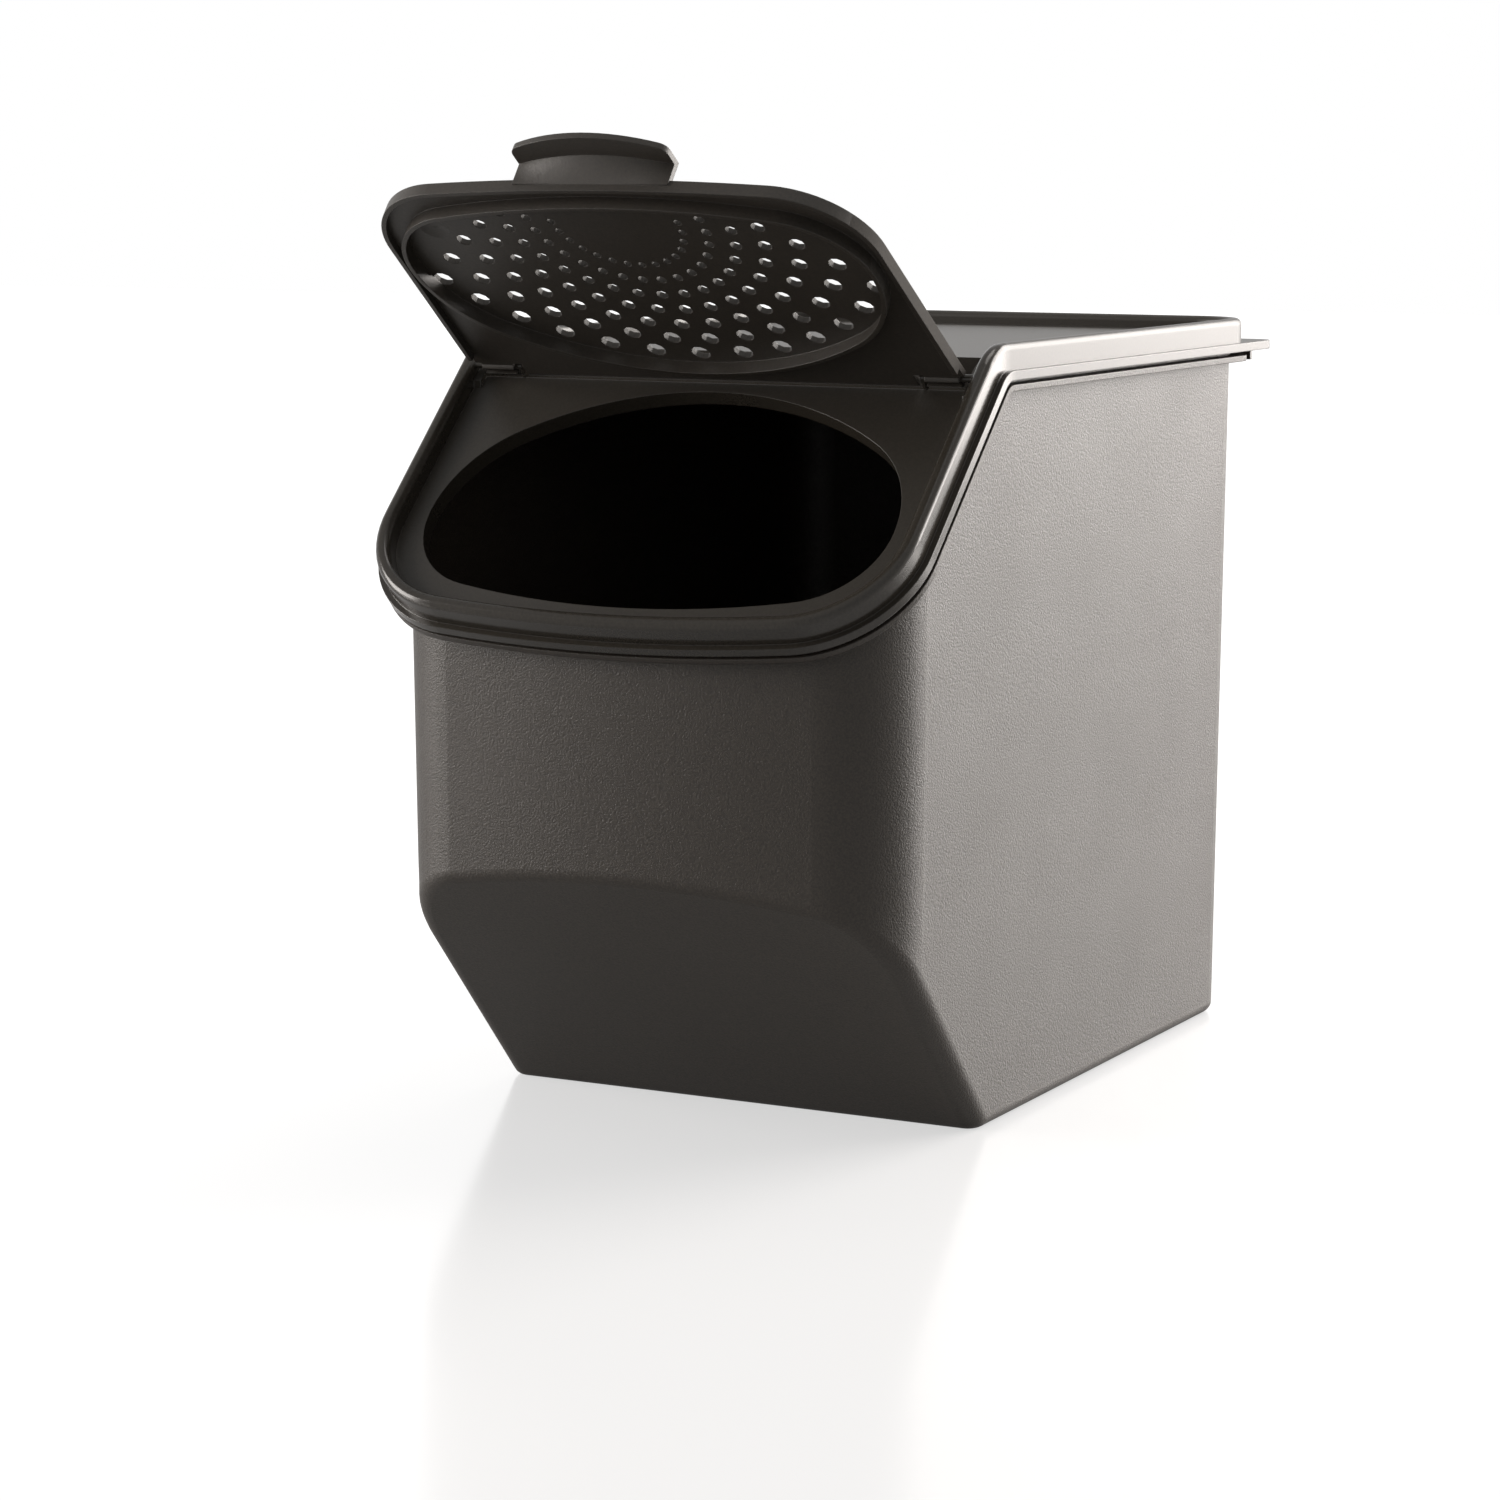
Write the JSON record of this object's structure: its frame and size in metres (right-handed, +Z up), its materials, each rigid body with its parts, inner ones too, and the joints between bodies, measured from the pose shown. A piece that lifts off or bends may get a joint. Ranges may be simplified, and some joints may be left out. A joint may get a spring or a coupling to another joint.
{
  "type": "potato storage bin",
  "caption": "Tall drafted kitchen bin with a lift-off cover whose sloping front carries a wide oval mouth under a perforated hinged flap.",
  "frame": {"origin": "middle of the foot, on the floor under the tub", "axes": "+Z up, -Y out of the slanted front with the mouth, +X to the right when looking along +Y at the front"},
  "size_m": [0.193, 0.3364, 0.3164],
  "materials": {
    "tub_textured_plastic": "fine spark texture",
    "cover_gloss_plastic": "polished",
    "flap_satin_plastic": "satin"
  },
  "bodies": {
    "tub": {"tub": "tub_textured_plastic"},
    "cover": {"cover": "cover_gloss_plastic"},
    "flap": {"flap": "flap_satin_plastic"}
  },
  "joints": [
    {"name": "cover_lift", "type": "slide", "parent": "tub", "child": "cover", "axis": [0, -0.3714, 0.9285], "range_m": [0, 0.06]},
    {"name": "flap_hinge", "type": "hinge", "parent": "cover", "child": "flap", "pos_m": [0, -0.12213, 0.24137], "axis": [-1, 0, 0], "range_deg": [-80.6, 112]}
  ]
}
